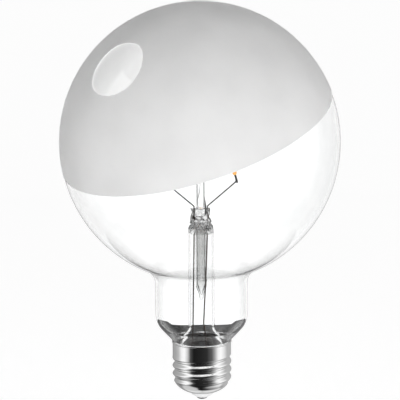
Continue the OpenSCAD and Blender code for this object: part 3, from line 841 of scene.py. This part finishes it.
def make_floor():
    """White floor that keeps the lamp's shadow."""
    half = FLOOR_HALF
    corners = [(-half, -half, 0), (half, -half, 0), (half, half, 0), (-half, half, 0)]
    floor = stage_mesh("floor", corners, [(0, 1, 2, 3)])
    only_for(floor, camera=True, diffuse=True)
    mat, tree, shader = material("pale_floor")
    shader.inputs["Base Color"].default_value = (0.93, 0.93, 0.93, 1)
    shader.inputs["Roughness"].default_value = 0.9
    glow = node(tree, "ShaderNodeEmission")
    glow.inputs["Strength"].default_value = FLOOR_GLOW
    mix = node(tree, "ShaderNodeMixShader")
    share = node(tree, "ShaderNodeMapRange")
    share.inputs["To Min"].default_value = FLOOR_BOUNCE
    share.inputs["To Max"].default_value = 1 - FLOOR_SHADE
    tree.links.new(seen_rays(tree), share.inputs["Value"])
    tree.links.new(share.outputs["Result"], mix.inputs["Fac"])
    tree.links.new(shader.outputs[0], mix.inputs[1])
    tree.links.new(glow.outputs[0], mix.inputs[2])
    tree.links.new(mix.outputs[0], tree.nodes["Material Output"].inputs["Surface"])
    floor.data.materials.append(mat)


def dome(name, r):
    """Big ball round the lamp, with its centre at the neck's height. It also gives its node tree,
    its glow, its place's parts and the compass angle as a share from 0 to 1, with 0 behind."""
    rows, n = DOME_ROWS, DOME_SIDES
    points = []
    for i in range(1, rows):
        e = math.pi * i / rows - math.pi / 2
        points += [(r * math.cos(e) * c, r * math.cos(e) * s, r * math.sin(e))
                   for c, s in circle(n)]
    faces = ring_faces(rows - 1, n, False)
    faces += [tuple(reversed(range(n))), tuple((rows - 2) * n + j for j in range(n))]
    piece = stage_mesh(name, points, faces)
    piece.location.z = DOME_Z * MM
    mat, tree, shader = material(name)
    tree.nodes.remove(shader)
    glow = node(tree, "ShaderNodeEmission")
    tree.links.new(glow.outputs[0], tree.nodes["Material Output"].inputs["Surface"])
    piece.data.materials.append(mat)
    place = node(tree, "ShaderNodeTexCoord")
    split = node(tree, "ShaderNodeSeparateXYZ")
    tree.links.new(place.outputs["Object"], split.inputs[0])
    back = node(tree, "ShaderNodeMath", operation="MULTIPLY")
    back.inputs[1].default_value = -1
    tree.links.new(split.outputs["Y"], back.inputs[0])
    turn = node(tree, "ShaderNodeMath", operation="ARCTAN2")
    tree.links.new(split.outputs["X"], turn.inputs[0])
    tree.links.new(back.outputs[0], turn.inputs[1])
    share = node(tree, "ShaderNodeMapRange")
    share.inputs["From Min"].default_value = -math.pi
    share.inputs["From Max"].default_value = math.pi
    tree.links.new(turn.outputs[0], share.inputs["Value"])
    return piece, tree, glow, split, share.outputs[0]


def tones_round(tree, turn, tones):
    """Ramp over the compass angle, which runs from behind over the left, the front and the
    right."""
    ramp = node(tree, "ShaderNodeValToRGB")
    fill_ramp(ramp, [((a + 180) / 360, v / TOP_TONE) for a, v in tones])
    tree.links.new(turn, ramp.inputs["Fac"])
    return ramp.outputs["Color"]


def blend(tree, seen, height, low, high, tone, r):
    """Turns the seen colour into a grey tone or another colour between two heights, given as
    shares of r."""
    share = node(tree, "ShaderNodeMapRange")
    share.inputs["From Min"].default_value = low * r * MM
    share.inputs["From Max"].default_value = high * r * MM
    tree.links.new(height, share.inputs["Value"])
    mix = node(tree, "ShaderNodeMix", data_type="RGBA")
    tree.links.new(share.outputs[0], mix.inputs["Factor"])
    tree.links.new(seen, mix.inputs["A"])
    if isinstance(tone, float):
        mix.inputs["B"].default_value = (tone, tone, tone, 1)
    else:
        tree.links.new(tone, mix.inputs["B"])
    return mix.outputs["Result"]


def make_reflected_room():
    """What polished metal and glass reflect: a dark front, bright panels at the sides, grey behind,
    darker tones below them, the floor under these and a white ceiling."""
    room, tree, glow, split, turn = dome("reflected_room", DOME_R)
    only_for(room, glossy=True)
    height = split.outputs["Z"]
    seen = tones_round(tree, turn, REFLECTED)
    low = tones_round(tree, turn, REFLECTED_LOW)
    seen = blend(tree, seen, height, -0.4, -0.48, low, DOME_R)
    ground = tones_round(tree, turn, REFLECTED_FLOOR)
    seen = blend(tree, seen, height, -0.72, -0.8, ground, DOME_R)
    seen = blend(tree, seen, height, 0.72, 0.82, 1.0, DOME_R)
    glow.inputs["Strength"].default_value = TOP_TONE
    tree.links.new(seen, glow.inputs["Color"])


def make_room_behind_glass():
    """What is seen through glass: white above and straight behind, beside and before the lamp,
    and dark between, so that bent light draws the glass's edges. Light that reaches matt pieces
    through the glass is even."""
    room, tree, glow, split, turn = dome("room_behind_glass", 3 * DOME_R)
    only_for(room, transmission=True)
    seen = tones_round(tree, turn, BEHIND)
    seen = blend(tree, seen, split.outputs["Z"], 0.7, 0.85, 0.91, 3 * DOME_R)
    path = node(tree, "ShaderNodeLightPath")
    mix = node(tree, "ShaderNodeMix", data_type="RGBA")
    matt = node(tree, "ShaderNodeMath", operation="ADD")
    tree.links.new(path.outputs["Diffuse Depth"], matt.inputs[0])
    tree.links.new(path.outputs["Is Diffuse Ray"], matt.inputs[1])
    tree.links.new(matt.outputs[0], mix.inputs["Factor"])
    tree.links.new(seen, mix.inputs["A"])
    inside = INSIDE / BEHIND_GLASS / TOP_TONE
    mix.inputs["B"].default_value = (inside, inside, inside, 1)
    glow.inputs["Strength"].default_value = TOP_TONE * BEHIND_GLASS
    tree.links.new(mix.outputs["Result"], glow.inputs["Color"])


def fill_ramp(ramp, stops):
    """Puts grey stops, given as (place, value), on a colour ramp."""
    elements = ramp.color_ramp.elements
    while len(elements) > 1:
        elements.remove(elements[-1])
    elements[0].position = stops[0][0]
    elements[0].color = (stops[0][1],) * 3 + (1,)
    for place, value in stops[1:]:
        made = elements.new(place)
        made.color = (value, value, value, 1)


def make_painted_shade_ring():
    """Low dark ring with a dark ground, seen only through glass: painted shade for what the glass
    of the taper shows.
    """
    n = SHADE_RING_SIDES
    profile = ((SHADE_WALL_R, SHADE_WALL_Z), (SHADE_WALL_R, SHADE_GROUND_Z), (SHADE_GROUND_R, SHADE_GROUND_Z))
    points = [(r * c, r * s, z) for r, z in profile for c, s in circle(n)]
    faces = ring_faces(3, n, False) + [tuple(range(n, 2 * n))]
    wall = stage_mesh("shade_ring_under_glass", points, faces)
    only_for(wall, transmission=True)
    mat, tree, shader = material("shade_ring_under_glass")
    shader.inputs["Roughness"].default_value = 1.0
    shader.inputs["Specular IOR Level"].default_value = 0.0
    # Near-black tones of the ring and ground: painted shade
    place, tint = mottled(tree, 20, (0.03, 0.03, 0.03), (0.1, 0.1, 0.1))
    tree.links.new(tint.outputs["Color"], shader.inputs["Base Color"])
    wall.data.materials.append(mat)


def make_lamp():
    """Soft key lamp in front, a little to the right and level with the cap."""
    lamp = bpy.data.lights.new("front_softbox", "AREA")
    lamp.shape = "DISK"
    lamp.size = KEY_SIZE
    lamp.energy = KEY_WATTS
    key = new_object("front_softbox", lamp)
    key.location = KEY_PLACE
    aim(key, Vector((0, 0, GLOBE_Z * MM)))
    key.visible_glossy = False
    key.visible_camera = False
    key.visible_transmission = False


def aim(item, target, roll=0.0):
    """Turns a lamp or camera towards a point, and rolls it."""
    look = (target - item.location).to_track_quat("-Z", "Y").to_matrix()
    item.rotation_euler = (look @ Matrix.Rotation(roll, 3, "Z")).to_euler()


def make_camera():
    lens = bpy.data.cameras.new("camera")
    lens.sensor_width = 36
    lens.lens = 36 * FOCAL_PX / FRAME_PX
    lens.clip_end = 20
    camera = new_object("camera", lens)
    back = Vector((0, -math.cos(VIEW_ELEVATION), math.sin(VIEW_ELEVATION)))
    camera.location = (VIEW_AIM + back * VIEW_DISTANCE) * MM
    aim(camera, VIEW_AIM * MM, VIEW_ROLL)
    bpy.context.scene.camera = camera


# Build

make_camera()
nodes = frame["nodes"]
blown = glass("blown_glass", 12, 0.000003)
pressed = glass("pressed_glass", 160, 0.00006, 1.55)
pinched = glass("pinched_glass", 250, 0.00012, 1.6, (0.4, 0.4, 0.4), (0.98, 0.98, 0.98), 420)
tube = glass("tube_glass", 60, 0.00003, 1.13)
# The exhaust tube's glass is tinted grey, fully above TINTED_ABOVE and fading out to clear below
# CLEAR_BELOW
greyed_exhaust = glass("exhaust_glass", 60, 0.00003, 1.48, (0.66, 0.66, 0.655), (0.74, 0.74, 0.735))
# Nickel and copper darkened far below their metals' own tones: real metal, with painted shade
nickel = metal("nickel_wire", (0.07, 0.07, 0.07), (0.15, 0.15, 0.15), 0.35, 3000, 0.00001)
copper = metal("copper_wire", (0.12, 0.1, 0.09), (0.2, 0.165, 0.15), 0.4, 3000, 0.00001)
plate = metal("polished_plate", (0.88, 0.88, 0.88), (0.96, 0.96, 0.96), 0.045, 700, 0.000004)
bare = metal("contact_metal", (0.55, 0.55, 0.56), (0.7, 0.7, 0.71), 0.3, 900, 0.00001)

dress(make_envelope(), blown)
dress(make_coat(), coat_material())
stem = make_stem()
dress(stem, tube)
stem.data.materials.append(pinched)
for face in stem.data.polygons:
    face.material_index = int(face.center.z > SQUEEZE_Z * MM)
clear_towards_tip(greyed_exhaust, CLEAR_BELOW, TINTED_ABOVE)
dress(make_exhaust(), greyed_exhaust)
dress(make_rod(), pressed)
nickel_wires, copper_wires = make_wires()
for piece in nickel_wires:
    dress(piece, nickel)
for piece in copper_wires:
    dress(piece, copper)
dress(make_shell(), plate)

KEPT = {
    "led_filament": glowing_phosphor_material(), "filament_pins": nickel, "top_anchor": nickel,
    "dumet_seal": copper, "shell_lead": copper, "centre_contact": bare,
}
# Start of the node's name, material, its two tones, roughness, and the relief's scale and height
for start, *look in (
        ("cap_insulator", "grey_insulator", (0.9, 0.9, 0.905), (0.95, 0.95, 0.955),
         0.35, 900, 0.00001),
        ("cap_cement", "dry_cement", (0.09, 0.085, 0.08), (0.17, 0.16, 0.15),
         # The cement's near-black tones are painted shade for the inside of the cap seen through
         # the glass
         0.9, 1500, 0.00008),
        ("insulating_sleeve", "black_film", (0.02, 0.02, 0.02), (0.04, 0.04, 0.04),
         0.5, 600, 0.00001),
        ("driver_board", "board_mask", (0.03, 0.035, 0.03), (0.06, 0.065, 0.06),
         0.4, 1200, 0.00001),
        ("bridge_rectifier", "black_mould", (0.02, 0.02, 0.022), (0.04, 0.04, 0.042),
         0.4, 1500, 0.00002),
        ("driver_ic", "black_mould_ic", (0.02, 0.02, 0.022), (0.035, 0.035, 0.04),
         0.35, 1500, 0.00002),
        ("smoothing_capacitor", "dark_sleeve", (0.02, 0.025, 0.05), (0.04, 0.05, 0.09),
         0.3, 700, 0.00001),
        ("fuse_resistor", "green_lacquer", (0.1, 0.25, 0.18), (0.18, 0.36, 0.28),
         0.35, 900, 0.00002)):
    KEPT[start] = moulded(*look)
for name, piece in nodes.items():
    if piece.hide_render:
        continue
    for start, mat in KEPT.items():
        if name.startswith(start):
            dress(piece, mat)

set_up_world()
make_floor()
make_reflected_room()
make_room_behind_glass()
make_painted_shade_ring()
make_lamp()

bpy.context.scene.view_settings.view_transform = "Standard"
bpy.context.scene.cycles.max_bounces = 32
bpy.context.scene.cycles.transmission_bounces = 32
bpy.context.scene.cycles.glossy_bounces = 8
